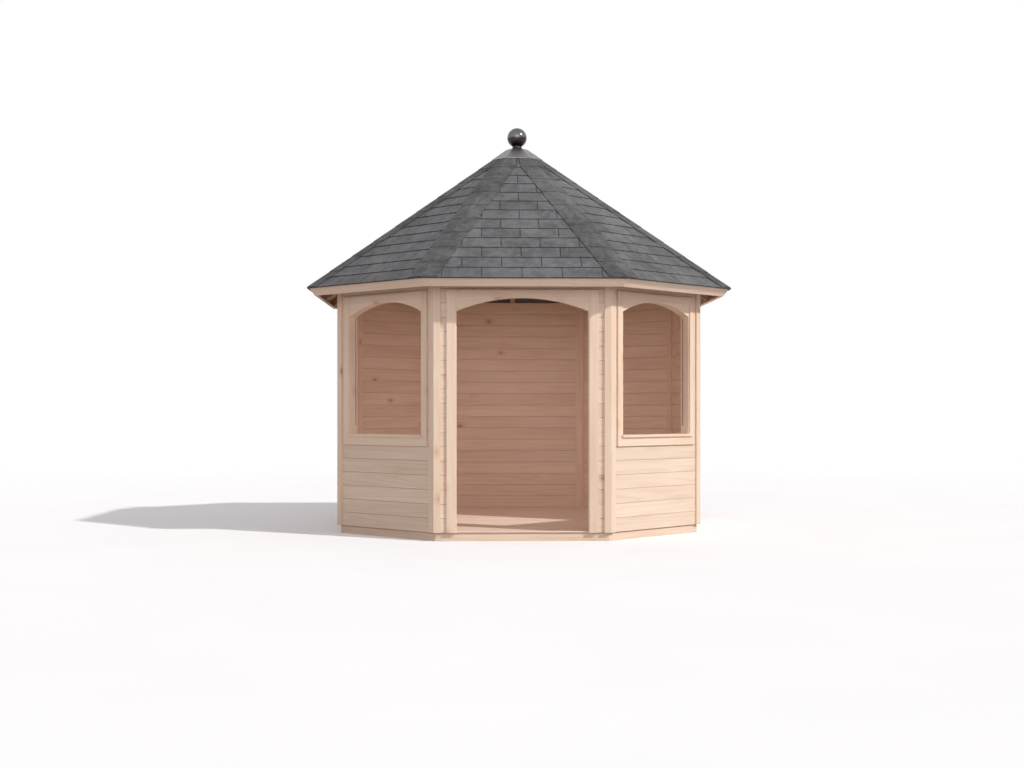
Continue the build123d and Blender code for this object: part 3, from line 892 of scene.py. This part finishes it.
# %% Floor boards
floor_low, floor_high = (Vector(c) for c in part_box("floor_deck"))
FLOOR_COVER = 0.096
FLOOR_THICK = floor_high.z - floor_low.z
FLOOR_LENGTH, FLOOR_CUTTER_GROWS, FLOOR_SEED = 3.6, 1.1, 31
FLOOR_SECTION = board_section(FLOOR_THICK, FLOOR_COVER, chamfer=0.002, back_chamfer=0.0005,
                              tongue=0.006)
floor_rows = math.ceil((floor_high.y - floor_low.y) / FLOOR_COVER)
start = Vector((0, floor_low.y, floor_high.z))
piece = board("floor_boards", FLOOR_SECTION, FLOOR_LENGTH, start, Vector((1, 0, 0)),
              Vector((0, 1, 0)), -UP)
lay(piece, ROWS, Count=floor_rows, Step=(0, FLOOR_COVER, 0), Seed=FLOOR_SEED,
    Material=FLOOR_PINE)
cut_to(piece, cutter_from("floor_deck", UP, floor_high - UP * FLOOR_THICK / 2,
                          FLOOR_CUTTER_GROWS))
finish_piece(piece, ["floor_deck"])

# %% [markdown]
# ## The threshold
#
# A thin strip covers the joint between the front bearer and the floor in the doorway. Its
# rounded nose stands a little past the bearer, so rain drips clear of the timber. It is made
# as one more board, with another section: a half circle in front.

# %% Threshold strip
STRIP_THICK, STRIP_NOSE, STRIP_BACK = 0.010, 0.020, 0.092
NOSE_POINTS = 7
turns = [math.pi * (k / (NOSE_POINTS - 1) - 0.5) for k in range(NOSE_POINTS)]
round_nose = [(STRIP_THICK / 2 * (1 - cos(a)), STRIP_THICK / 2 * (1 + sin(a))) for a in turns]
depth = STRIP_BACK - STRIP_NOSE
start = outward(FRONT) * reach(FRONT, STRIP_NOSE) + UP * floor_high.z
piece = board("threshold", [(depth, 0)] + round_nose + [(depth, STRIP_THICK)], 2 * DOOR_HALF,
              start, along(FRONT), UP, -outward(FRONT))
piece.data.materials.append(BASE_PINE)
finish_piece(piece)

# %% [markdown]
# ## The roof
#
# Every layer of the roof is the same pyramid, dropped by its depth. A roof face is set out
# from the middle of its eaves: along the eaves, up the slope, and square out of it.

# %% Setting out the roof
SHINGLE_DROP = 0.012
EAVES_INSET = HALF_ACROSS - row_high.x
EAVES_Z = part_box("shingle_cover")[0][2] + SHINGLE_DROP
APEX_Z = 3.570
ROOF_RISE = APEX_Z - EAVES_Z


def pitch(face):
    return math.atan(ROOF_RISE / reach(face, EAVES_INSET))


def up_slope(face):
    return UP * sin(pitch(face)) - outward(face) * cos(pitch(face))


def slope_out(face):
    return UP * cos(pitch(face)) + outward(face) * sin(pitch(face))


def eaves(face):
    return outward(face) * reach(face, EAVES_INSET) + UP * EAVES_Z


def slope_length(face):
    return ROOF_RISE / sin(pitch(face))


def eaves_corner(index):
    """Corner between face index - 1 and face index, at the eaves."""
    return eaves(index) - along(index) * half_face(index, EAVES_INSET)


print("pitch", [round(math.degrees(pitch(f)), 2) for f in (0, 1)], "degrees")

# %% [markdown]
# ## The roof boards
#
# The roof is boarded before it is shingled. The boards run level, side by side up the slope,
# with their V-joints on the underside, where they show from inside and under the eaves. The
# row tree lays them past the hips, and the cut to the solid leaves them mitred there.

# %% Roof boards
ROOF_COVER = 0.096
ROOF_UNDER, ROOF_THICK, ROOF_MIDDLE = 0.032, 0.020, 0.022
PAST_EAVES, PAST_HIPS = 0.05, 0.2
ROOF_CUTTER_GROWS, ROOF_SEED = 1.04, 40
for face, name in enumerate(FACES):
    right, up, out = along(face), up_slope(face), slope_out(face)
    fall = cos(pitch(face))
    start = eaves(face) + out * (-ROOF_UNDER * fall) - up * PAST_EAVES
    section = board_section(ROOF_THICK * fall, ROOF_COVER, chamfer=0.003, back_chamfer=0.0005,
                            tongue=0.005)
    piece = board("roofing_boards_" + name, section,
                  2 * half_face(face, EAVES_INSET) + PAST_HIPS, start, right, up, out)
    lay(piece, ROWS, Count=math.ceil((slope_length(face) + 2 * PAST_EAVES) / ROOF_COVER),
        Step=up * ROOF_COVER, Seed=ROOF_SEED + face, Material=ROOF_PINE)
    middle = eaves(face) + out * (-ROOF_MIDDLE * fall)
    cut_to(piece, cutter_from("roof_boards_" + name, out, middle, ROOF_CUTTER_GROWS))
    finish_piece(piece, ["roof_boards_" + name])

# %% [markdown]
# ## Courses of shingles
#
# Shingles lie in level courses, 157 mm apart up the slope, each course half a shingle along
# from the one below. A shingle is a thin wedge: 6 mm thick at its butt, which shows, and thin
# at its head, under the next course. A brick pattern in the material would be less work, but
# real slabs give each butt its shadow and show their edges at the eaves. They are counted off
# in rows and columns, and every other row moves along by half a shingle.

# %% Where the shingles lie
HIP_JOINT, JOINT_STAGGER = 0.002, 0.003
LEAST_HALF, LEAST_PIECE, MERGE_WITHIN = 0.004, 0.012, 0.0001
BOND_START, BOND_SHIFT = 0.466, 0.5


def scaled(net, vector, factor):
    made = net.node("ShaderNodeVectorMath", {0: vector, "Scale": factor}, operation="SCALE")
    return made.outputs[0]


def hip_limit(net, given, rise):
    """Half the width of the roof face at a height up its slope."""
    left = net.math("SUBTRACT", 1.0, net.math("DIVIDE", rise, given["Slope length"]))
    return net.math("MAXIMUM", net.math("MULTIPLY", given["Half eaves"], left), LEAST_HALF)


def course_points(net, given):
    """A full grid with a point for each shingle, and the number of its column."""
    total = net.math("MULTIPLY", given["Columns"], given["Courses"])
    points = net.node("GeometryNodeMeshLine", {"Count": total}, mode="OFFSET")
    index = net.node("GeometryNodeInputIndex").outputs[0]
    row = net.math("FLOOR", net.math("DIVIDE", net.math("ADD", index, 0.5), given["Columns"]))
    column = net.math("SUBTRACT", index, net.math("MULTIPLY", row, given["Columns"]))
    middle = net.math("DIVIDE", net.math("SUBTRACT", given["Columns"], 1.0), 2.0)
    bond = net.math("SUBTRACT", BOND_START,
                    net.math("MULTIPLY", net.math("MODULO", row, 2.0), BOND_SHIFT))
    across = net.math("ADD", net.math("SUBTRACT", column, middle), bond)
    spot = net.vector("ADD", scaled(net, given["Along"], across),
                      scaled(net, given["Up the slope"], row))
    placed = net.node("GeometryNodeSetPosition", {"Geometry": points.outputs[0],
                                                  "Position": spot})
    return placed.outputs[0], column


print("shingles stop", HIP_JOINT, "or", HIP_JOINT + JOINT_STAGGER, "m short of the hip")

# %% [markdown]
# ## The shingle tree
#
# The tree keeps the points that touch the roof face, puts a shingle on each, and then moves
# corners that lie past the hip line back along the course. Neighbours stop at two different
# distances from the hip, so they never end in one straight crack.

# %% The tree that lays shingles
def course_tree():
    net, given = new_tree("Courses of shingles", ("Columns", "Int"), ("Courses", "Int"),
                          ("Along", "Vector"), ("Up the slope", "Vector"), ("Origin", "Vector"),
                          ("Half eaves", "Float"), ("Slope length", "Float"),
                          ("Half shingle", "Float"))
    points, column = course_points(net, given)
    along_unit = net.vector("NORMALIZE", given["Along"])
    up_unit = net.vector("NORMALIZE", given["Up the slope"])
    here = net.node("GeometryNodeInputPosition").outputs[0]
    side = net.math("ABSOLUTE", net.vector("DOT_PRODUCT", here, along_unit, out="Value"))
    rise = net.vector("DOT_PRODUCT", here, up_unit, out="Value")
    beyond = net.math("GREATER_THAN", net.math("SUBTRACT", side, given["Half shingle"]),
                      net.math("SUBTRACT", hip_limit(net, given, rise), LEAST_PIECE))
    kept = net.node("GeometryNodeDeleteGeometry", {"Geometry": points, "Selection": beyond},
                    domain="POINT")
    parity = net.node("GeometryNodeStoreNamedAttribute", {
        "Geometry": kept.outputs[0], "Name": "parity",
        "Value": net.math("MODULO", column, 2.0)}, data_type="FLOAT", domain="POINT")
    laid = net.node("GeometryNodeInstanceOnPoints", {"Points": parity.outputs[0],
                                                     "Instance": given["Geometry"]})
    real = with_tone(net, laid.outputs[0], given["Seed"])
    local = net.vector("SUBTRACT", here, given["Origin"])
    across_now = net.vector("DOT_PRODUCT", local, along_unit, out="Value")
    rise_now = net.vector("DOT_PRODUCT", local, up_unit, out="Value")
    odd = net.node("GeometryNodeInputNamedAttribute", {"Name": "parity"}, data_type="FLOAT")
    joint = net.math("ADD", HIP_JOINT, net.math("MULTIPLY", odd.outputs[0], JOINT_STAGGER))
    limit = net.math("SUBTRACT", hip_limit(net, given, rise_now), joint)
    least = net.math("MULTIPLY", limit, -1.0)
    inside = net.math("MINIMUM", net.math("MAXIMUM", across_now, least), limit)
    move = scaled(net, along_unit, net.math("SUBTRACT", inside, across_now))
    brought = net.node("GeometryNodeSetPosition", {"Geometry": real, "Offset": move})
    merged = net.node("GeometryNodeMergeByDistance", {"Geometry": brought.outputs[0],
                                                      "Distance": MERGE_WITHIN})
    end_tree(net, merged.outputs[0], "chance", "parity")
    return net.tree


COURSE_TREE = course_tree()
print("shingle tree has", len(COURSE_TREE.nodes), "nodes")

# %% [markdown]
# ## One shingle
#
# A shingle lies with its head under the course above, a lap beyond what shows. It is laid at
# the middle of the eaves, and its tree takes it from there.

# %% One shingle, and the courses of each face
def slab(name, corners, lift, thickness, out):
    """A closed four-cornered slab: corner points with a lift and a thickness for each."""
    work = bmesh.new()
    edge = work.faces.layers.float.new("edge")
    top = [work.verts.new(c + out * h) for c, h in zip(corners, lift)]
    low = [work.verts.new(c + out * (h - t)) for c, h, t in zip(corners, lift, thickness)]
    work.faces.new(top)
    work.faces.new(low[::-1])
    for face in band(work, low, top):
        face[edge] = 1.0
    return from_bmesh(name, work)


EXPOSURE, LAP = 0.157, 0.025
SHINGLE_WIDE, SHINGLE_GAP = 0.326, 0.006
BUTT_THICK = 0.006
HEAD_DROP, HEAD_THICK = 0.0069, 0.0021
COLUMNS, COURSES, SHINGLE_SEED = 9, 13, 60
for face, name in enumerate(FACES):
    right, up, out = along(face), up_slope(face), slope_out(face)
    half = (SHINGLE_WIDE - SHINGLE_GAP) / 2
    head = EXPOSURE + LAP
    corners = [eaves(face) + right * a + up * b
               for a, b in ((-half, 0), (half, 0), (half, head), (-half, head))]
    piece = slab("shingles_" + name, corners, (0, 0, -HEAD_DROP, -HEAD_DROP),
                 (BUTT_THICK, BUTT_THICK, HEAD_THICK, HEAD_THICK), out)
    lay(piece, COURSE_TREE, Columns=COLUMNS, Courses=COURSES, Along=right * SHINGLE_WIDE,
        Origin=eaves(face), Seed=SHINGLE_SEED + face, Material=SHINGLE,
        **{"Up the slope": up * EXPOSURE, "Half eaves": half_face(face, EAVES_INSET),
           "Slope length": slope_length(face), "Half shingle": half})
    finish_piece(piece, ["shingle_cover"])

# %% [markdown]
# ## Felt and starter strips
#
# A sheet of felt lies on the boards, and shows as a dark line in the joints between shingles.
# At the eaves a plain starter strip lies under the first course, so that no joint there is
# open to the boards.

# %% Felt and starter strips
def ring_skin(name, low_drop, high_drop, foot_back, head_reach):
    """A thin eight-sided skin on the slopes, from the eaves to near the apex."""
    work = bmesh.new()
    rings = []
    for drop in (high_drop, low_drop):
        for shrink in (1 - foot_back, head_reach):
            corners = [eaves_corner(index) * shrink for index in range(8)]
            for corner in corners:
                corner.z = APEX_Z - drop - ROOF_RISE * shrink
            rings.append([work.verts.new(corner) for corner in corners])
    for a, b in ((0, 1), (1, 3), (3, 2), (2, 0)):
        band(work, rings[a], rings[b])
    return from_bmesh(name, work)


for piece in (ring_skin("underlay_felt", 0.0119, 0.0115, foot_back=0.008, head_reach=0.05),
              ring_skin("starter_strip", 0.0114, 0.0077, foot_back=0.002, head_reach=0.95)):
    piece.data.materials.append(FELT)
    finish_piece(piece, ["shingle_cover"])

# %% [markdown]
# ## Closing the eaves
#
# Over each wall the rafters leave a gap under the roof boards. A strip of stiff grey felt
# stands on the middle of the wall and closes it, in two lengths to a side: each runs from the
# middle rafter to the hip rafter. They are plain upright slabs, so eight corners each are
# enough. The strip keeps outside light from the roof space, and its grey is painted shade: it
# stands for the deep shade in that gap.

# %% Eaves felt
RAFTER_WIDTH = 0.045
STRIP_FELT_THICK, STRIP_GAP, STRIP_BELOW = 0.003, 0.002, 0.001
# The grey of the eaves felt is painted shade.
EAVES_SHADE_FELT = roofing("Grey eaves felt, painted shade", (0.14, 0.155, 0.17), (0.22, 0.24, 0.26))
WALL_MIDDLE = COVER_THICK + BOARD_THICK / 2
work = bmesh.new()
for face in range(8):
    far_out = (reach(face, WALL_MIDDLE) + STRIP_FELT_THICK) / reach(face, EAVES_INSET)
    top = APEX_Z - ROOF_UNDER - ROOF_RISE * far_out - STRIP_BELOW
    first = RAFTER_WIDTH / 2 + STRIP_GAP
    last = half_face(face, WALL_MIDDLE) - RAFTER_WIDTH / 2 / cos(math.pi / 8) - STRIP_GAP
    for side in (-1, 1):
        middle = (outward(face) * reach(face, WALL_MIDDLE)
                  + along(face) * side * (first + last) / 2 + UP * (WALL_HEAD + top) / 2)
        for vert in bmesh.ops.create_cube(work, size=1.0)["verts"]:
            a, b, c = vert.co
            vert.co = (middle + outward(face) * a * STRIP_FELT_THICK
                       + along(face) * b * (last - first) + UP * c * (top - WALL_HEAD))
piece = from_bmesh("eaves_shade_felt", work)
piece.data.materials.append(EAVES_SHADE_FELT)
finish_piece(piece)
print("the felt over the front wall is", round((top - WALL_HEAD) * 1000), "mm high")

# %% [markdown]
# ## Hip caps
#
# Where two roof faces meet, folded caps cover the cut shingles. Each cap is one folded strip,
# and its butt lies over the head of the cap below, so the hip sheds water. Two rings of six
# points, at the butt and at the head, are enough for a cap: a wing on the face before the hip,
# the fold on the hip line and a wing on the face after it, each with a top and an underside.

# %% One folded cap
CAP_HALF, CAP_STEP, CAP_LAP, CAP_SETBACK = 0.126, 0.250, 0.030, 0.006
BUTT_LIFT, HEAD_LIFT = (0.0044, 0.0016), (0.0016, 0.0001)
APEX_CLEAR = 0.2


def hip_cap(index):
    """The lowest cap of a hip, its direction of climb, and how many the hip takes."""
    low = eaves_corner(index)
    top = Vector((0, 0, APEX_Z))
    climb = (top - low).normalized()
    plan = Vector((climb.x, climb.y, 0)).normalized()
    before, after = (index - 1) % 8, index
    wing = {before: -along(before), after: along(after)}
    level = {f: CAP_HALF / abs(wing[f].x * plan.y - wing[f].y * plan.x) for f in wing}
    ridge_out = slope_out(before) + slope_out(after)
    ridge_out /= 1 + slope_out(before).dot(slope_out(after))
    work = bmesh.new()
    edge = work.faces.layers.float.new("edge")
    rings = []
    for climbed, (over, under) in ((CAP_SETBACK, BUTT_LIFT),
                                   (CAP_STEP + CAP_LAP + CAP_SETBACK, HEAD_LIFT)):
        spine = low + climb * climbed
        first, last = wing[before] * level[before], wing[after] * level[after]
        rings.append([work.verts.new(spine + side + out * lift) for side, out, lift in (
            (first, slope_out(before), under), (first, slope_out(before), over),
            (Vector(), ridge_out, over), (last, slope_out(after), over),
            (last, slope_out(after), under), (Vector(), ridge_out, under))])
    for k, face in enumerate(band(work, *rings)):
        face[edge] = 1.0 if k in (0, 3) else 0.0
    for ring in rings:
        for quad in ((0, 1, 2, 5), (5, 2, 3, 4)):
            work.faces.new([ring[q] for q in quad])[edge] = 1.0
    length = (top - low).length * (1 - APEX_CLEAR / row_high.x)
    return from_bmesh("cap", work), climb, math.ceil((length - CAP_LAP) / CAP_STEP)


print("a cap is", 2 * CAP_HALF, "m wide and", CAP_STEP + CAP_LAP, "m long")

# %% [markdown]
# ## Caps up each hip
#
# The row tree that lays boards also lays caps up a hip. Near the apex the faces are narrower
# than two caps, so there the wings are brought in until they stop just short of the middle
# of their face.

# %% Caps on the eight hips
NEAR_FACE, MIDDLE_CLEAR = 0.006, 0.0015
CAP_SEED = 80
caps = []
for index in range(8):
    piece, climb, count = hip_cap(index)
    # The caps get the darker hip shingle: painted shade.
    lay(piece, ROWS, Count=count, Step=climb * CAP_STEP, Seed=CAP_SEED + index,
        Material=SHADED_HIP_SHINGLE)
    for vert in piece.data.vertices:
        for face in ((index - 1) % 8, index):
            hand = -1 if face == index else 1
            local = vert.co - eaves(face)
            side = local.dot(along(face)) * hand
            if abs(local.dot(slope_out(face))) <= NEAR_FACE and side < MIDDLE_CLEAR:
                vert.co += along(face) * (MIDDLE_CLEAR - side) * hand
    caps.append(piece)
finish_piece(join("hip_cap_strips", caps), ["hip_caps"])

# %% [markdown]
# ## Nails
#
# Small nails hold the corner strips and the casings, in upright rows. A ball for each would
# be hundreds of faces that nobody sees, so a nail head is a low dome of a few. The row tree
# that lays boards and caps also sets the nails.

# %% Rows of nails
NAIL_RADIUS, NAIL_SIDES = 0.0035, 8
NAIL_PROFILE = ((-0.002, 1.0), (0.0004, 1.0), (0.0009, 0.6))
COVER_NAIL, DOOR_NAIL, WINDOW_NAIL = 0.030, 0.050, 0.040
COVER_NAIL_SEED, CASING_NAIL_SEED = 100, 120
POST_ROW, WINDOW_ROW = (0.16, 0.31, 7), (0.86, 0.28, 5)


def nail_head(spot, out):
    """A low domed head that looks along out, from rings of (depth, share of the radius)."""
    side = out.cross(UP).normalized()
    turn = out.cross(side)
    work = bmesh.new()
    rings = [[work.verts.new(spot + out * depth + (side * cos(k * math.tau / NAIL_SIDES)
                                                   + turn * sin(k * math.tau / NAIL_SIDES))
                             * NAIL_RADIUS * share)
              for k in range(NAIL_SIDES)] for depth, share in NAIL_PROFILE]
    for low, high in zip(rings, rings[1:]):
        band(work, low, high)
    work.faces.new(rings[0])
    work.faces.new(rings[-1])
    return from_bmesh("nail", work)


def nail_row(face, across, row, seed):
    """An upright row of nails on a face: the height of the first, the step and the count."""
    foot, step, count = row
    spot = outward(face) * reach(face) + along(face) * across + UP * foot
    return lay(nail_head(spot, outward(face)), ROWS, Count=count, Step=(0, 0, step), Seed=seed,
               Material=NAIL_METAL)


nails = [nail_row(face, side * (half_face(face) - COVER_NAIL), POST_ROW,
                  COVER_NAIL_SEED + face) for face in range(8) for side in (-1, 1)]
for face, half, row in ((FRONT, DOOR_HALF + DOOR_NAIL, POST_ROW),
                        (WINDOW_FACES["right"], WINDOW_HALF + WINDOW_NAIL, WINDOW_ROW),
                        (WINDOW_FACES["left"], WINDOW_HALF + WINDOW_NAIL, WINDOW_ROW)):
    nails += [nail_row(face, side * half, row, CASING_NAIL_SEED + face) for side in (-1, 1)]
finish_piece(join("trim_nails", nails))

# %% [markdown]
# ## The floor of the studio
#
# The gazebo stands on a wide pale floor that keeps its shadow. Far from it the floor turns
# into plain white, where the camera looks at it, so no horizon shows. The light that it throws
# back is that of mid grey paving, so it doesn't light the walls too much from below.

# %% Studio floor
PALE_REACH, RIM_POINTS = 40.0, 32
FADE_FROM, FADE_TO = 6.0, 15.0
BELOW_FOOT = 0.001
PALE_SEEN, PALER_SEEN = (0.87, 0.87, 0.865, 1), (0.89, 0.89, 0.885, 1)
PAVING_GREY = (0.42, 0.41, 0.40, 1)
turns = [math.tau * k / RIM_POINTS for k in range(RIM_POINTS)]
rim = [(PALE_REACH * cos(a), PALE_REACH * sin(a), row_low.z - BELOW_FOOT) for a in turns]
ground = bpy.data.meshes.new("studio_floor")
ground.from_pydata(rim, [], [list(range(RIM_POINTS))])
new_object("studio_floor", ground)
pale, net, shader = new_material("Pale studio floor")
where = object_place(net)
seen = seen_directly(net)
cloud = net.noise(where, 0.8, 2.0)
shown = net.mix(net.ramp(cloud, *NOISE_SPAN), PALE_SEEN, PALER_SEEN)
net.feed(shader.inputs["Base Color"], net.mix(seen, PAVING_GREY, shown))
shader.inputs["Roughness"].default_value = 0.9
shader.inputs["Specular IOR Level"].default_value = 0.0
shader.inputs["Emission Color"].default_value = (0.96, 0.98, 1.0, 1)
net.feed(shader.inputs["Emission Strength"], net.math("MULTIPLY", seen, 0.10))
far = net.vector("LENGTH", where, out="Value")
fade = net.node("ShaderNodeMapRange", {0: far, 1: FADE_FROM, 2: FADE_TO},
                interpolation_type="SMOOTHSTEP")
white = net.node("ShaderNodeEmission", {"Color": (1, 1, 1, 1), "Strength": 1.0})
blend = net.node("ShaderNodeMixShader", {0: net.math("MULTIPLY", fade.outputs[0], seen),
                                         1: shader.outputs[0], 2: white.outputs[0]})
net.feed(net.tree.nodes["Material Output"].inputs[0], blend.outputs[0])
ground.materials.append(pale)
print("studio floor reaches", PALE_REACH, "m")

# %% [markdown]
# ## Light
#
# A lamp stands far off to the right in front, about as high as a late morning sun. A broad low
# lamp in front and the surround fill the shadows, both a touch pink, as light is that comes
# back from timber and paving. Together they light a face that looks at the main lamp to about
# its own colour. The room has few openings, so it would stay dim: a wide, weak and warm lamp
# hangs under the roof and does what light between sunlit boards does. Seen directly, the
# surround is plain white.

# %% Lamps and surround
FILL_PINK = (1.0, 0.955, 1.0)
LAMP_LIFT = 0.05


def far_lamp(name, side, height, strength, angle, colour):
    """A lamp so far off that its light is parallel, from a side and a height in degrees."""
    side, height = radians(side), radians(height)
    towards = Vector((sin(side) * cos(height), -cos(side) * cos(height), sin(height)))
    lamp = bpy.data.lights.new(name, "SUN")
    lamp.energy = strength
    lamp.angle = radians(angle)
    lamp.color = colour
    made = new_object(name, lamp)
    made.rotation_euler = towards.to_track_quat("Z", "Y").to_euler()
    print(name, "looks from", [round(v, 2) for v in towards])


far_lamp("key_lamp", side=57, height=36.5, strength=2.52, angle=2.0, colour=(1.0, 1.0, 0.98))
far_lamp("front_fill", side=0, height=5, strength=0.79, angle=50, colour=FILL_PINK)

soft = bpy.data.lights.new("room_lamp", "AREA")
soft.shape = "DISK"
soft.size = 1.6
soft.energy = 9.2
soft.color = (1.0, 0.75, 0.75)
room_lamp = new_object("room_lamp", soft)
room_lamp.location = (0, 0, WALL_HEAD + LAMP_LIFT)
room_lamp.visible_camera = False

world = bpy.data.worlds.new("surround")
bpy.context.scene.world = world
world.use_nodes = True
net = Net(world.node_tree)
seen = seen_directly(net)
back = net.tree.nodes["Background"]
net.feed(back.inputs["Color"], net.mix(seen, (*FILL_PINK, 1), (1.0, 1.0, 1.0, 1)))
net.feed(back.inputs["Strength"], net.ramp(seen, 0.0, 1.0, 0.50, 1.0))
bpy.context.scene.view_settings.view_transform = "Standard"
print("lamps and surround set")

# %% [markdown]
# ## Camera
#
# The camera stands a little left of the doorway, at the height of a seated person, and looks
# level at the gazebo, which keeps the uprights upright. To frame the roof as well, its picture
# is shifted a little instead of tilted.

# %% Camera
view = bpy.data.cameras.new("camera")
view.lens = 50.46
view.sensor_width = 36.0
view.shift_y = 0.0259
view.clip_end = 200.0
camera = new_object("camera", view)
camera.location = (-0.385, -13.411, 1.076)
camera.rotation_euler = (radians(90), 0, -0.0252)
bpy.context.scene.camera = camera
print("camera is", round(camera.location.length, 2), "m from the middle")
